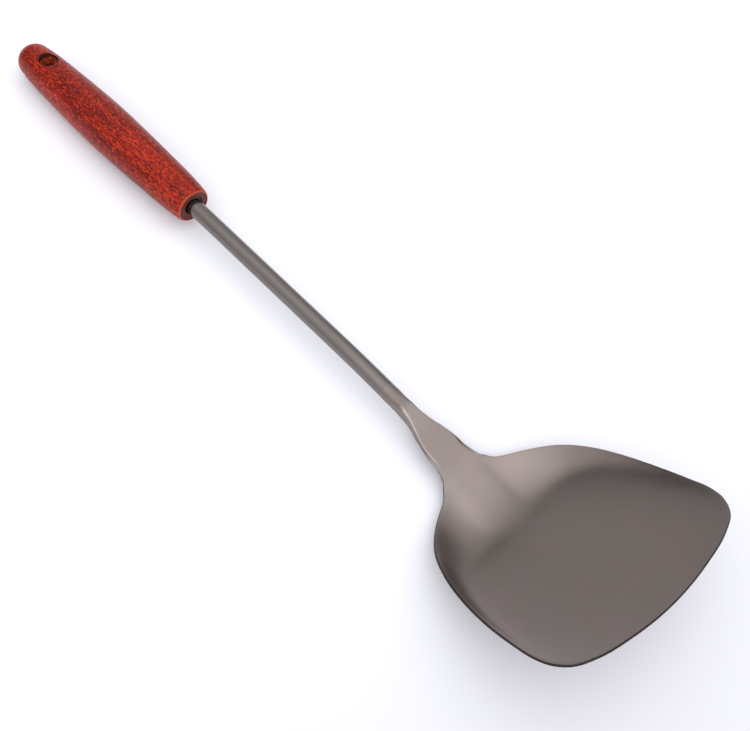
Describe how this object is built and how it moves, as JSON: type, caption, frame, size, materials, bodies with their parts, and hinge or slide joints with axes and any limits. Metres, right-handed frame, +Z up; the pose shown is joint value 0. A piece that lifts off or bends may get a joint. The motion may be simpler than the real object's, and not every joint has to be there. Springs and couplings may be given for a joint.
{
  "type": "wok spatula",
  "caption": "Long-handled wok spatula with a stamped, dished steel pan, a folded neck, a straight tube shaft and a turned wooden handle with a hanging hole.",
  "frame": {"origin": "centre of the bounding box on the surface the spatula lies on", "axes": "+Z up, +X along the length from the handle's butt to the pan's front edge, +Y to the left looking from the handle to the pan; the spatula lies on its handle's belly and the pan's heel, hollow side up"},
  "size_m": [0.4352, 0.1078, 0.0539],
  "materials": {
    "pan_steel": "dull satin sheet steel, warm grey, lightly mottled",
    "shaft_steel": "drawn along the tube, brighter than the pan",
    "red_wood": "red-brown hardwood under clear varnish, grain along the handle",
    "black_resin": "glossy black glue fill"
  },
  "bodies": {
    "root": {"blade": "pan_steel", "shaft": "shaft_steel", "handle": "red_wood", "resin": "black_resin"}
  },
  "joints": []
}
